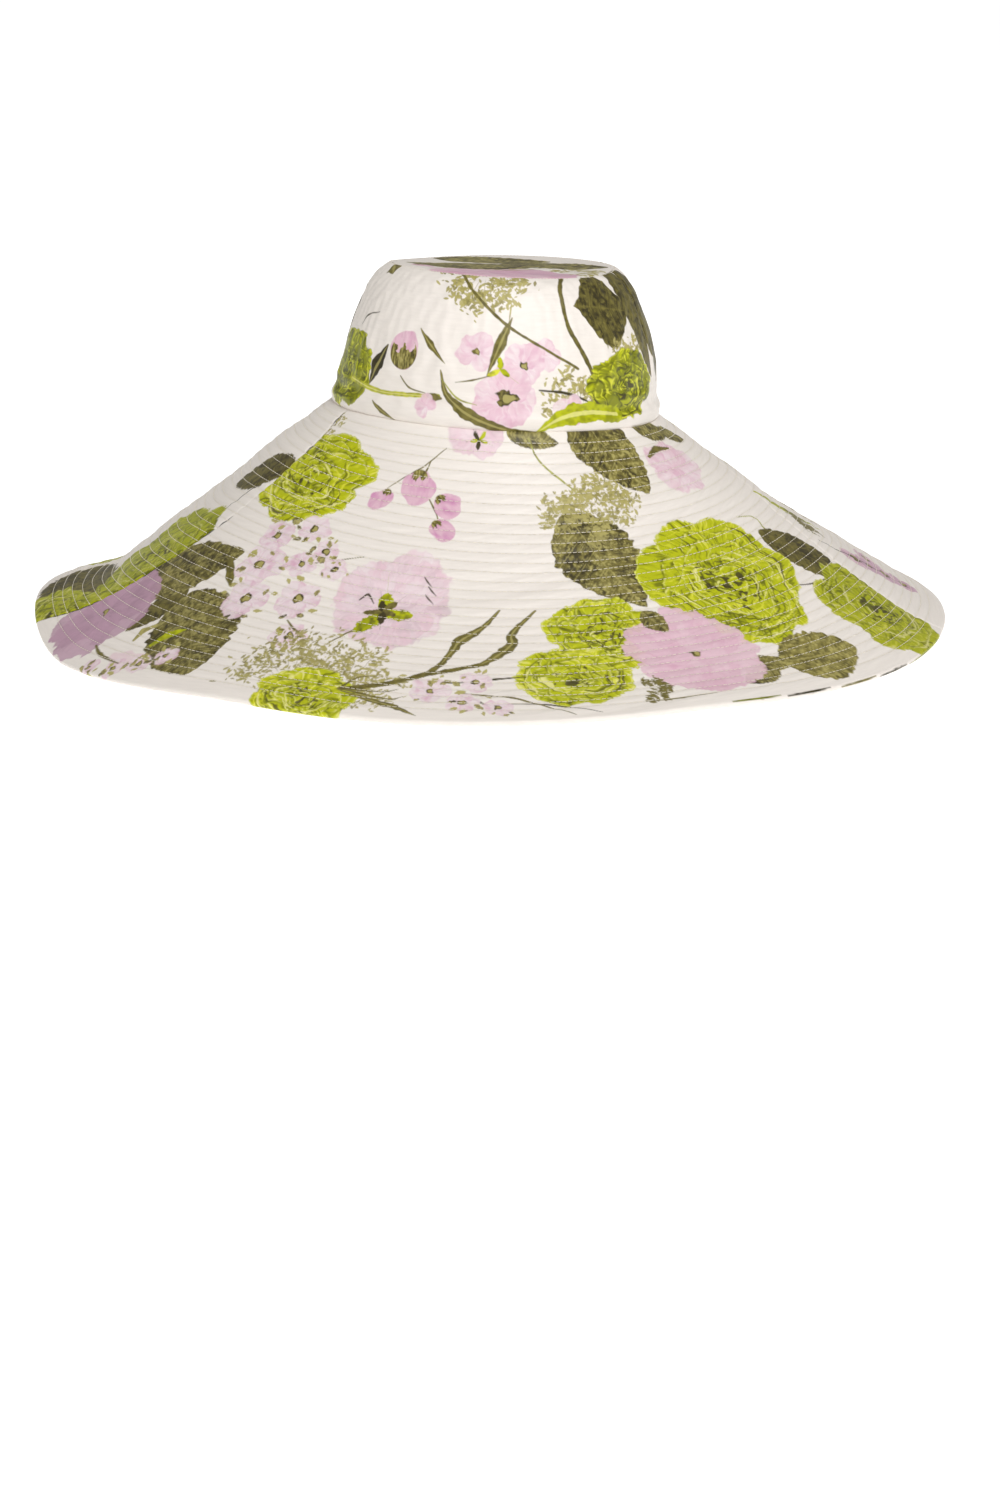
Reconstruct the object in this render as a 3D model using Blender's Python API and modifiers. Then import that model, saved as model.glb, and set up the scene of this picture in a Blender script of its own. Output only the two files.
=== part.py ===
"""Wide-brim sewn sun hat: a flat-topped crown on a drooping conical brim, every cut panel its own solid.

Metres, +Z up. The hat rests on its brim edge at z = 0, its axis is Z and its front faces -Y.
Run with blender --background --python part.py, or from the text editor.
"""

import math

import bmesh
import bpy
from mathutils import Vector

HAT = "sewn_sun_hat"

# Driving dimensions: the outer faces of the hat
BASE_RADIUS = 0.094
TIP_RADIUS = 0.0645
CROWN_HEIGHT = 0.084
BRIM_RADIUS = 0.265
BRIM_RISE = 0.128

# Slopes of the brim at the crown and at the edge: a plain cone at the sides and back, a bell at the front
SIDE_SLOPES = (math.radians(38), math.radians(34))
FRONT_SLOPES = (math.radians(56), math.radians(13))

# Where the front and back panels meet: azimuths from +X, at a panel's top, middle and bottom
BRIM_LEFT_SEAM = (math.radians(205), math.radians(204), math.radians(191))
BRIM_RIGHT_SEAM = (math.radians(372), math.radians(347), math.radians(348))
CROWN_LEFT_SEAM = (math.radians(184),) * 3
CROWN_RIGHT_SEAM = (math.radians(345),) * 3
BACK_SEAM = (math.radians(90),) * 3
FULL_TURN = 2 * math.pi

# Cloth thicknesses and the clearance between touching pieces
GAP = 0.0004
SATIN = 0.0008
BRIM_STIFFENER = 0.0012
CROWN_STIFFENER = 0.0010
LINING = 0.0006
RIBBON = 0.0010
THREAD = 0.0005
THREAD_CLEARANCE = 0.0005

# Shares of a profile, from 0 at its top to 1 at its bottom
RIBBON_START = 0.74
STIFFENER_SPAN = (0.015, 0.975)
TIP_STITCH_AT = 0.03
HEM_STITCH_AT = 0.965

# Mesh fineness
FRONT_COLUMNS = 24
BACK_COLUMNS = 32
RING_COLUMNS = FRONT_COLUMNS + BACK_COLUMNS
BRIM_ROWS = 8
CROWN_ROWS = 5
RIBBON_ROWS = 2

BRIM_THICKNESS = 2 * SATIN + BRIM_STIFFENER + 2 * GAP


def clear_scene():
    for old in list(bpy.data.objects):
        bpy.data.objects.remove(old)


def cloth_material(name, colour, roughness, sheen):
    material = bpy.data.materials.new(name)
    material.use_nodes = True
    shader = material.node_tree.nodes["Principled BSDF"]
    shader.inputs["Base Color"].default_value = (*colour, 1)
    shader.inputs["Roughness"].default_value = roughness
    shader.inputs["Metallic"].default_value = 0
    shader.inputs["Sheen Weight"].default_value = sheen
    material.diffuse_color = (*colour, 1)
    return material


def bezier(points, share):
    """A point (radius, height) of a cubic outline and its direction there."""
    a, b, c, d = (Vector(point) for point in points)
    rest = 1 - share
    place = rest**3 * a + 3 * rest**2 * share * b + 3 * rest * share**2 * c + share**3 * d
    way = rest**2 * (b - a) + 2 * rest * share * (c - b) + share**2 * (d - c)
    return place, way.normalized()


def crown_outline(azimuth):
    """Side of the crown from its tip seam down to the brim seam, the same all round."""
    return (
        (TIP_RADIUS, BRIM_RISE + CROWN_HEIGHT),
        (0.92 * BASE_RADIUS, BRIM_RISE + 0.925 * CROWN_HEIGHT),
        (0.915 * BASE_RADIUS, BRIM_RISE + 0.32 * CROWN_HEIGHT),
        (BASE_RADIUS, BRIM_RISE),
    )


def brim_outline(azimuth):
    """Top of the brim from the crown seam down to the edge, whose underside touches z = 0."""
    frontness = max(0, -math.sin(azimuth)) ** 2
    top_slope, edge_slope = (
        side + (front - side) * frontness for side, front in zip(SIDE_SLOPES, FRONT_SLOPES)
    )
    start = Vector((BASE_RADIUS + GAP, BRIM_RISE - GAP))
    end = Vector((BRIM_RADIUS, BRIM_THICKNESS * math.cos(edge_slope)))
    handle = (end - start).length / 3
    return (
        start,
        start + handle * Vector((math.cos(top_slope), -math.sin(top_slope))),
        end - handle * Vector((math.cos(edge_slope), -math.sin(edge_slope))),
        end,
    )


def on_hat(outline, azimuth, share, depth):
    """A point at a depth under the outer face, where the outline turns about the hat's axis."""
    place, way = bezier(outline(azimuth), share)
    outward = Vector((-way.y, way.x))
    radius, height = place - depth * outward
    return Vector((radius * math.cos(azimuth), radius * math.sin(azimuth), height))


def seam_at(seam, share):
    """Azimuth of a seam that bends evenly from its top through its middle to its bottom."""
    top, middle, bottom = seam
    bow = 2 * middle - top - bottom
    return top + (bottom - top) * share + 2 * bow * share * (1 - share)


def finish_object(shape, name, material):
    shape.name = name
    shape.data.name = name
    shape.data.materials.append(material)
    for owner in list(shape.users_collection):
        owner.objects.unlink(shape)
    bpy.data.collections[HAT].objects.link(shape)
    shape.parent = bpy.data.objects["hat_axis"]
    return shape


def add_panel(name, outline, seams, depth, thickness, columns, rows, material, span=(0, 1)):
    """A cut panel between two seams: a grid laid on the hat's form, then given its thickness."""
    cloth = bmesh.new()
    bmesh.ops.create_grid(cloth, x_segments=columns, y_segments=rows, size=0.5)
    for corner in cloth.verts:
        across = corner.co.x + 0.5
        share = span[1] - (corner.co.y + 0.5) * (span[1] - span[0])
        radius = bezier(outline(0), share)[0].x
        clearance = GAP / 2 / radius
        start = seam_at(seams[0], share) + clearance
        end = seam_at(seams[1], share) - clearance
        corner.co = on_hat(outline, start + across * (end - start), share, depth)
    mesh = bpy.data.meshes.new(name)
    cloth.to_mesh(mesh)
    cloth.free()
    panel = finish_object(bpy.data.objects.new(name, mesh), name, material)
    thicken = panel.modifiers.new("thickness", "SOLIDIFY")
    thicken.thickness = thickness
    thicken.offset = -1
    thicken.use_even_offset = True
    return panel


def add_tip(name, depth, thickness, material):
    """A flat round panel inside the top edge of the crown's side panels."""
    rim = on_hat(crown_outline, 0, 0, depth + thickness)
    top = BRIM_RISE + CROWN_HEIGHT - depth
    bpy.ops.mesh.primitive_cylinder_add(
        vertices=RING_COLUMNS,
        radius=rim.x - 2 * GAP,
        depth=thickness,
        location=(0, 0, top - thickness / 2),
    )
    return finish_object(bpy.context.object, name, material)


def add_tip_thread(name, material):
    """The round of topstitching just outside the tip seam."""
    centre = on_hat(crown_outline, 0, TIP_STITCH_AT, -THREAD_CLEARANCE - THREAD / 2)
    bpy.ops.mesh.primitive_torus_add(
        major_radius=centre.x,
        minor_radius=THREAD / 2,
        major_segments=RING_COLUMNS,
        minor_segments=4,
        location=(0, 0, centre.z),
    )
    return finish_object(bpy.context.object, name, material)


def add_hem_thread(name, material):
    """The last round of topstitching, along the brim's hem."""
    data = bpy.data.curves.new(name, "CURVE")
    data.dimensions = "3D"
    data.bevel_depth = THREAD / 2
    data.bevel_resolution = 0
    line = data.splines.new("POLY")
    line.points.add(RING_COLUMNS - 1)
    line.use_cyclic_u = True
    for index, point in enumerate(line.points):
        azimuth = FULL_TURN * index / RING_COLUMNS
        place = on_hat(brim_outline, azimuth, HEM_STITCH_AT, -THREAD_CLEARANCE - THREAD / 2)
        point.co = (*place, 1)
    return finish_object(bpy.data.objects.new(name, data), name, material)


def panel_halves(left, right):
    """The front and back of a ring that is cut at a left and a right seam."""
    left_again = tuple(azimuth + FULL_TURN for azimuth in left)
    return (("front", (left, right), FRONT_COLUMNS), ("back", (right, left_again), BACK_COLUMNS))


def add_crown(satin, stiffener, lining, ribbon, thread):
    under_satin = SATIN + GAP
    under_stiffener = under_satin + CROWN_STIFFENER + GAP
    under_lining = under_stiffener + LINING + GAP
    ring = (BACK_SEAM, tuple(azimuth + FULL_TURN for azimuth in BACK_SEAM))

    add_tip("crown_tip", 0, SATIN, satin)
    add_tip("crown_tip_interlining", under_satin, CROWN_STIFFENER, stiffener)
    add_tip("crown_tip_lining", under_stiffener, LINING, lining)
    for side, seams, columns in panel_halves(CROWN_LEFT_SEAM, CROWN_RIGHT_SEAM):
        add_panel(
            f"crown_side_{side}", crown_outline, seams, 0, SATIN, columns, CROWN_ROWS, satin
        )
        add_panel(
            f"crown_side_lining_{side}",
            crown_outline,
            seams,
            under_stiffener,
            LINING,
            columns,
            CROWN_ROWS,
            lining,
        )
    add_panel(
        "crown_side_interlining",
        crown_outline,
        ring,
        under_satin,
        CROWN_STIFFENER,
        RING_COLUMNS,
        CROWN_ROWS,
        stiffener,
    )
    add_panel(
        "sweatband",
        crown_outline,
        ring,
        under_lining,
        RIBBON,
        RING_COLUMNS,
        RIBBON_ROWS,
        ribbon,
        span=(RIBBON_START, 1),
    )
    add_tip_thread("crown_tip_topstitching", thread)


def add_brim(satin, stiffener, underside, thread):
    under_satin = SATIN + GAP
    under_stiffener = under_satin + BRIM_STIFFENER + GAP
    layers = (
        ("brim_top", 0, SATIN, satin, (0, 1)),
        ("brim_interlining", under_satin, BRIM_STIFFENER, stiffener, STIFFENER_SPAN),
        ("brim_under", under_stiffener, SATIN, underside, (0, 1)),
    )
    for side, seams, columns in panel_halves(BRIM_LEFT_SEAM, BRIM_RIGHT_SEAM):
        for layer, depth, thickness, material, span in layers:
            add_panel(
                f"{layer}_{side}",
                brim_outline,
                seams,
                depth,
                thickness,
                columns,
                BRIM_ROWS,
                material,
                span,
            )
    add_hem_thread("brim_hem_topstitching", thread)


def build_hat():
    clear_scene()
    bpy.context.scene.collection.children.link(bpy.data.collections.new(HAT))
    axis = bpy.data.objects.new("hat_axis", None)
    bpy.data.collections[HAT].objects.link(axis)

    satin = cloth_material("printed_satin", (0.76, 0.70, 0.55), 0.38, 0.4)
    underside = cloth_material("plain_satin", (0.88, 0.84, 0.76), 0.45, 0.4)
    stiffener = cloth_material("interlining", (0.93, 0.93, 0.91), 0.95, 0.0)
    lining = cloth_material("lining_cloth", (0.90, 0.88, 0.83), 0.60, 0.2)
    ribbon = cloth_material("ribbon", (0.91, 0.88, 0.80), 0.70, 0.2)
    thread = cloth_material("thread", (0.95, 0.90, 0.84), 0.50, 0.3)

    add_crown(satin, stiffener, lining, ribbon, thread)
    add_brim(satin, stiffener, underside, thread)


build_hat()
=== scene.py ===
"""Looks of the sewn sun hat: printed satin panels, quilted brim, topstitching, lining and sweatband.

Lengths on the cloth are in millimetres and places on the hat in metres. A place on a panel of the
crown's side or of the brim is (azimuth in degrees from +X, millimetres down from the panel's top).
"""

import math

import bmesh
import bpy
import numpy as np
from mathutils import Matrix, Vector


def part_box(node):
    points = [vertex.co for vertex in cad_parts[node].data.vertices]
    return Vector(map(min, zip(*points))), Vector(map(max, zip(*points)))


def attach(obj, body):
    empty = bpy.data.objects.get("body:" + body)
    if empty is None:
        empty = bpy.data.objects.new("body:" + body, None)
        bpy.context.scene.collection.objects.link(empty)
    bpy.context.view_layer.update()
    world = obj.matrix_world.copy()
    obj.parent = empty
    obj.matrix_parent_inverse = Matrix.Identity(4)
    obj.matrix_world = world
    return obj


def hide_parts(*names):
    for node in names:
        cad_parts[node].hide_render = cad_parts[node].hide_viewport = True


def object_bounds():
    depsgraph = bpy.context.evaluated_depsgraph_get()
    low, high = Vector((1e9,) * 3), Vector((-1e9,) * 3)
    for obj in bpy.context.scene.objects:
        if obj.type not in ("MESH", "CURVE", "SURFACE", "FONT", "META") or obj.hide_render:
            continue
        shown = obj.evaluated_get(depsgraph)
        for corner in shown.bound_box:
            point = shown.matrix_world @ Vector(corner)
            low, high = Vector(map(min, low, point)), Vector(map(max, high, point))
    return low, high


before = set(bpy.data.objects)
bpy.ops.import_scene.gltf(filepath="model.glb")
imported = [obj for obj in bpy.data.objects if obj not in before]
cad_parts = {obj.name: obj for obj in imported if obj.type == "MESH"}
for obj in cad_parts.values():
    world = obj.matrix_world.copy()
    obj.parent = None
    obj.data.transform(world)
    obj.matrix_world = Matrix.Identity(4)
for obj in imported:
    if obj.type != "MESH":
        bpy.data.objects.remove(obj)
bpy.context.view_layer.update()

# Form of the hat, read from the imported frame
CROWN_LOW, CROWN_TOP = (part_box("crown_side_back")[end] for end in (0, 1))
BASE_RADIUS = CROWN_TOP[0]
TIP_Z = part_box("crown_tip")[1][2]
TIP_SEAM = 0.0008
TIP_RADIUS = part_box("crown_tip")[1][0] + TIP_SEAM
BRIM_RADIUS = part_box("brim_top_back")[1][1]
BRIM_RISE = CROWN_LOW[2]
CROWN_HEIGHT = TIP_Z - BRIM_RISE
SIDE_SLOPES = np.radians((38, 34))
FRONT_SLOPES = np.radians((56, 13))
BRIM_THICKNESS = 0.0036

# Seams between the front and back panels: azimuths in degrees at a panel's top, middle and bottom
BRIM_LEFT = (205, 204, 191)
BRIM_RIGHT = (372, 347, 348)
CROWN_LEFT = (184, 184, 184)
CROWN_RIGHT = (345, 345, 345)
TURN = 360
AROUND = ((90,) * 3, (90 + TURN,) * 3)

# Sewing, in millimetres
ROW_LENGTH = 212
QUILT_ROWS = 31
QUILT_PITCH = 6.5
QUILT_PUFF = 0.36
STITCH_PITCH = 3.1
STITCH_LENGTH = 2.85
STITCH_WIDTH = 0.42
SEAM_DIP = 0.5
SEAM_REACH = 0.9

# Depths of the layers under the outer face, in millimetres
FELT_DEPTH = 1.7
LINING_DEPTH = 3.0
RIBBON_DEPTH = 3.9

# Rows of points down a panel of the outer satin, and its columns in a degree
CROWN_FINENESS = {"front": (240, 4.2), "back": (170, 3)}
BRIM_FINENESS = {"front": (342, 7.6), "back": (235, 5.2)}

# How the worn hat departs from the plain form
CROWN_TILT = math.radians(3)
CROWN_LEAN = 0.023
CROWN_SWELL = 0.003

# The photograph's view: place, tilt downwards and lens
CAMERA_PLACE = (0.0035, -2.4, 0.488)
CAMERA_DIP = math.radians(13.25)
CAMERA_LENS = 99.4


def linear(red, green, blue):
    """A linear colour from one of 0 to 255 parts."""
    parts = np.array((red, green, blue)) / 255
    return np.where(parts > 0.04045, ((parts + 0.055) / 1.055) ** 2.4, parts / 12.92)


IVORY = linear(243, 236, 229)
CREAM = linear(238, 234, 150)
LIME_LIGHT = linear(222, 222, 62)
LIME = linear(187, 193, 8)
LIME_DARK = linear(128, 132, 6)
OLIVE_LIGHT = linear(180, 170, 102)
OLIVE = linear(124, 115, 56)
OLIVE_DARK = linear(64, 57, 28)
PINK_PALE = linear(242, 226, 230)
PINK = linear(234, 202, 213)
PINK_DEEP = linear(218, 166, 191)
PINK_BRIGHT = linear(214, 146, 188)
LAVENDER = linear(200, 161, 183)
LILAC_GREY = linear(210, 192, 198)
STEM = linear(176, 176, 84)
THREAD = linear(246, 238, 222)
ROSE = (CREAM, LIME_LIGHT, LIME, LIME_DARK, OLIVE_DARK)
# Painted shade: the rose's tones darkened to about 0.8, a shaded copy of the same rose
PAINTED_SHADE_ROSE = (CREAM * 0.8, LIME_LIGHT * 0.75, LIME * 0.8, LIME_DARK * 0.8, OLIVE_DARK)
DEEP_ROSE = (LIME_LIGHT, LIME, LIME * 0.5, LIME_DARK * 0.5, OLIVE_DARK)
DARK_LEAF = (OLIVE, OLIVE * 0.7, OLIVE_DARK * 0.8)
DULL_LEAF = (OLIVE_LIGHT * 0.8, OLIVE * 0.8, OLIVE_DARK * 0.9)
PALE_LEAF = (OLIVE_LIGHT * 1.1, OLIVE * 1.3, OLIVE * 0.6)
BRIGHT_BUD = ((PINK + PINK_DEEP) / 2, PINK_BRIGHT * 0.95)
PALE_FLOWER = (PINK_PALE, PINK, PINK_DEEP)
FULL_FLOWER = (PINK, (2 * PINK + PINK_DEEP) / 3, PINK_DEEP)
SHADED_FLOWER = (LAVENDER, LAVENDER * 0.9, LAVENDER * 0.7)
WASHED_FLOWER = (PINK_PALE, PINK, LILAC_GREY)
LEAF_TONES = (OLIVE_LIGHT, OLIVE, OLIVE_DARK)

# Rings of a rose's petals, in shares of its radius: distance out, half length, half width, and how many
PETAL_RINGS = (
    (0.66, 0.31, 0.38, 9),
    (0.53, 0.29, 0.33, 8),
    (0.4, 0.26, 0.28, 8),
    (0.28, 0.22, 0.23, 7),
    (0.16, 0.16, 0.17, 5),
    (0.06, 0.1, 0.12, 3),
)


# ---------------------------------------------------------------- form


def bezier(points, share):
    """Places and directions on cubic outlines, for arrays of shares."""
    a, b, c, d = points
    share = share[..., None]
    rest = 1 - share
    place = rest**3 * a + 3 * rest**2 * share * b + 3 * rest * share**2 * c + share**3 * d
    way = rest**2 * (b - a) + 2 * rest * share * (c - b) + share**2 * (d - c)
    return place, unit(way)


def unit(vectors):
    return vectors / np.linalg.norm(vectors, axis=-1, keepdims=True)


def pair(radius, height):
    """Points (radius, height) from arrays that may differ in shape."""
    return np.stack(np.broadcast_arrays(radius, height), axis=-1)


def crown_outline(azimuth):
    """Side of the crown from its tip seam down to the brim seam, the same all round."""
    across = (TIP_RADIUS, 0.92 * BASE_RADIUS, 0.915 * BASE_RADIUS, BASE_RADIUS)
    up = (TIP_Z, BRIM_RISE + 0.925 * CROWN_HEIGHT, BRIM_RISE + 0.32 * CROWN_HEIGHT, BRIM_RISE)
    return tuple(pair(radius + 0 * azimuth, height) for radius, height in zip(across, up))


def brim_outline(azimuth):
    """Top of the brim from the crown seam down to the edge: a cone at the sides, a bell at the front."""
    frontness = np.maximum(0, -np.sin(np.radians(azimuth))) ** 2
    top, edge = (side + (front - side) * frontness for side, front in zip(SIDE_SLOPES, FRONT_SLOPES))
    start = pair(BASE_RADIUS + 0 * azimuth, BRIM_RISE)
    end = pair(BRIM_RADIUS, BRIM_THICKNESS * np.cos(edge))
    handle = np.linalg.norm(end - start, axis=-1, keepdims=True) / 3
    upper, lower = (handle * pair(np.cos(slope), -np.sin(slope)) for slope in (top, edge))
    return start, start + upper, end - lower, end


def bump(value, centre, width):
    """1 at the centre, falling smoothly to 0 a width away."""
    return np.clip(1 - ((value - centre) / width) ** 2, 0, 1) ** 2


def bump_round(azimuth, centre, width):
    """A bump round the hat, in degrees."""
    return bump((azimuth - centre + 180) % TURN - 180, 0, width)


def ramp(value, low, high):
    """0 below low, 1 above high, with a smooth rise between."""
    share = np.clip((value - low) / (high - low), 0, 1)
    return share * share * (3 - 2 * share)


def bell(value, centre, width):
    """1 at the centre, falling off either side as a bell curve."""
    return np.exp(-(((value - centre) / width) ** 2))


def worn(points):
    """The hat as it hangs: its crown leans and swells a little and its brim is not quite level."""
    x, y, z = points[..., 0], points[..., 1], points[..., 2]
    radius = np.hypot(x, y)
    azimuth = np.degrees(np.arctan2(y, x)) % TURN
    out = np.clip((radius - BASE_RADIUS) / (BRIM_RADIUS - BASE_RADIUS), 0, 1)
    rise = np.clip((z - BRIM_RISE) / CROWN_HEIGHT, 0, 1)
    swell = 1 + CROWN_SWELL * bump(rise, 0.42, 0.42) / np.maximum(radius, 0.05)
    flare = 0.004 * bump_round(azimuth, 185, 55) * bump(rise, 0, 0.45) * bump(out, 0, 0.14)
    level = 1 - 0.85 * rise * ramp(y, -0.06, 0.06)
    z = z - x * (1 - out) * math.tan(CROWN_TILT) * level
    # Metres up, the azimuth and half width in degrees, and the share of it on the way out to the edge
    for lift, middle, width, share in (
        (0.0012, 232, 36, out**2),
        (0.0012, 312, 34, out**2),
        (0.0015, 150, 45, np.sin(np.pi * out)),
        (0.016, 175, 31, ramp(out, 0.74, 1)),
        (-0.003, 165, 40, bump(out, 0.82, 0.25)),
        (0.0035, 185, 50, bump(out, 0.2, 0.22)),
        (0.0015, 0, 45, bump(out, 0.25, 0.22)),
        (0.0035, 0, 42, bump(out, 0.62, 0.28)),
        (0.007, 10, 40, ramp(out, 0.5, 1)),
        (-0.0045, 265, 34, out**2),
        (-0.0035, 211, 28, out**3),
        (-0.002, 317, 24, out**3),
    ):
        z = z + lift * bump_round(azimuth, middle, width) * share
    for seam, way in ((BRIM_LEFT, -1), (BRIM_RIGHT, 1)):
        past = ((azimuth - seam_at(seam, out) + 180) % TURN - 180) * way
        ridge = np.where(past > 0, bump(past, 0, 17), bump(past, 0, 40))
        z = z + 0.003 * ridge * ramp(out, 0.15, 0.5) * (1 - 0.75 * ramp(out, 0.75, 1))
    z = z - 0.0022 * rise * ramp(y, -0.02, 0.06)
    wave = np.sin(np.radians(3 * azimuth + 40)) + 0.6 * np.sin(np.radians(7 * azimuth))
    z = z + 0.0006 * wave * out
    reach = 0.005 * bump_round(azimuth, 188, 45) * out**4
    return np.stack((x * swell - flare - reach + z * CROWN_LEAN, y * swell, z), axis=-1)


def spread(outline, azimuth, fraction):
    """The outline's share at which a fraction of its length has passed, and that length."""
    columns, rows = 60, 100
    step = 180 / columns
    turns, shares = np.linspace(180, 360, columns + 1), np.linspace(0, 1, rows + 1)
    place, _ = bezier(outline(turns[:, None] + 0 * shares), shares + 0 * turns[:, None])
    steps = np.linalg.norm(np.diff(place, axis=1), axis=-1) * 1000
    passed = np.concatenate((np.zeros((columns + 1, 1)), np.cumsum(steps, axis=1)), axis=1)
    table = np.array([np.interp(shares, row / row[-1], shares) for row in passed])
    turn = np.maximum(azimuth % TURN, 180)
    column, row = (turn - 180) / step, fraction * rows
    left = np.minimum(column.astype(int), columns - 1)
    upper = np.minimum(row.astype(int), rows - 1)
    right, lower = column - left, row - upper
    share = (1 - lower) * ((1 - right) * table[left, upper] + right * table[left + 1, upper])
    share += lower * ((1 - right) * table[left, upper + 1] + right * table[left + 1, upper + 1])
    return share, np.interp(turn, turns, passed[:, -1])


def seam_at(seam, fraction):
    """Azimuth of a seam that bends evenly from its top through its middle to its bottom."""
    top, middle, bottom = seam
    bow = 2 * middle - top - bottom
    return top + (bottom - top) * fraction + 2 * bow * fraction * (1 - fraction)


class Panel:
    """Rows of points across a cut panel, each known by its place on the form and on the flat cloth."""

    print_shift = 0.0

    def __init__(self, outline, seams, fractions, columns, inset=0.15):
        self.fraction, across = np.meshgrid(fractions, np.linspace(0, 1, columns + 1), indexing="ij")
        self.outline = outline
        first, last = (seam_at(seam, self.fraction) for seam in seams)
        rough = bezier(outline(first), self.fraction)[0][..., 0] * 1000
        gap = np.degrees(inset / rough)
        self.azimuth = first + gap + across * (last - first - 2 * gap)
        share, self.length = spread(outline, self.azimuth, self.fraction)
        self.place, self.way = bezier(outline(self.azimuth), share)
        self.outward = np.stack((-self.way[..., 1], self.way[..., 0]), axis=-1)
        self.radius = self.place[..., 0] * 1000
        self.down = self.fraction * self.length
        self.to_seam = np.radians(np.minimum(self.azimuth - first, last - self.azimuth)) * self.radius
        self.colour = np.broadcast_to(IVORY, (*self.radius.shape, 3)).copy()

    def local(self, at, reach):
        """The points within reach of a place, and their distances from it to the right and down."""
        x = np.radians(self.azimuth - self.print_shift - at[0]) * self.radius
        y = self.down - at[1]
        here = np.nonzero((np.abs(x) < reach) & (np.abs(y) < reach))
        return here, x[here], y[here]

    def turned_about(self, flat):
        """Pairs (radius, height) as points about the hat's axis."""
        turn = np.radians(self.azimuth)
        return np.stack((flat[..., 0] * np.cos(turn), flat[..., 0] * np.sin(turn), flat[..., 1]), axis=-1)

    def surface(self, lift, reach=0.0):
        """Points lifted off the form and moved on along it, in millimetres."""
        moved = self.place + np.asarray(lift)[..., None] * self.outward / 1000
        return worn(self.turned_about(moved + np.asarray(reach)[..., None] * self.way / 1000))

    def normal(self):
        return self.turned_about(self.outward)

    def cloud(self, size, seed, stretch=1):
        """Smooth noise at the panel's places, drawn out down the panel where stretch is under 1."""
        return cloud(np.radians(self.azimuth) * self.radius, stretch * self.down, size, seed)


class Disc(Panel):
    """The flat tip panel: azimuth stands for millimetres to the right, down for those to the front."""

    def __init__(self, radius, height, spacing):
        rings = round(radius / spacing)
        ring, turn = np.meshgrid(
            np.linspace(0.01, 1, rings), np.linspace(0, 2 * np.pi, 6 * rings + 1), indexing="ij"
        )
        self.flat_x, self.flat_y = radius * ring * np.cos(turn), radius * ring * np.sin(turn)
        self.azimuth, self.down = self.flat_x, -self.flat_y
        self.radius = np.full_like(ring, math.degrees(1))
        self.to_rim = radius * (1 - ring)
        self.height = height
        self.colour = np.broadcast_to(IVORY, (*ring.shape, 3)).copy()

    def surface(self, lift):
        height = self.height + lift / 1000 + 0 * self.flat_x
        return worn(np.stack((self.flat_x / 1000, self.flat_y / 1000, height), axis=-1))


# ---------------------------------------------------------------- print

# Every motif is painted at a place on a panel: (azimuth, millimetres down). Its sizes are in millimetres
# and its turn in degrees clockwise. A seed gives each its own outline. Later motifs cover earlier ones.


def cloud(x, y, size, seed):
    """Smooth noise from -1 to 1 whose features have a given size."""
    across, down = x / size, y / size
    column, row = np.floor(across), np.floor(down)
    across, down = across - column, down - row
    across = across * across * (3 - 2 * across)
    down = down * down * (3 - 2 * down)

    def corner(right, below):
        value = np.sin((column + right) * 127.1 + (row + below) * 311.7 + seed * 74.7) * 43758.5453
        return value - np.floor(value)

    upper = corner(0, 0) * (1 - across) + corner(1, 0) * across
    lower = corner(0, 1) * (1 - across) + corner(1, 1) * across
    return 2 * (upper * (1 - down) + lower * down) - 1


def soft(distance, width=0.8):
    """Coverage of a painted edge: 0 outside, 1 a width inside."""
    return ramp(distance / width, -0.5, 0.5)


def mix(low, high, share):
    return low + (high - low) * np.clip(share, 0, 1)[..., None]


def shaded(tones, level):
    """Colours along a scale that starts at the first tone (level 0) and ends at the last (level 1)."""
    levels = np.linspace(0, 1, len(tones))
    return np.stack([np.interp(level, levels, part) for part in np.transpose(tones)], axis=-1)


def lay_on(panel, here, colour, coverage):
    """Prints a colour over what is there."""
    coverage = np.clip(coverage, 0, 1)[..., None]
    panel.colour[here] = panel.colour[here] * (1 - coverage) + colour * coverage


def turned(x, y, degrees):
    """Coordinates along and across a motif that is turned clockwise on the cloth."""
    angle = math.radians(degrees)
    return x * math.cos(angle) + y * math.sin(angle), -x * math.sin(angle) + y * math.cos(angle)


def warped(x, y, amount, sizes, seeds):
    """Coordinates shaken by smooth noise, so that a motif's outlines wander."""
    aside = cloud(x, y, sizes[0], seeds[0])
    return x + amount * aside, y + amount * cloud(y, x, sizes[1], seeds[1])


def some(here, near):
    """Those of the points in here whose numbers are in near."""
    return tuple(axis[near] for axis in here)


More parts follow.
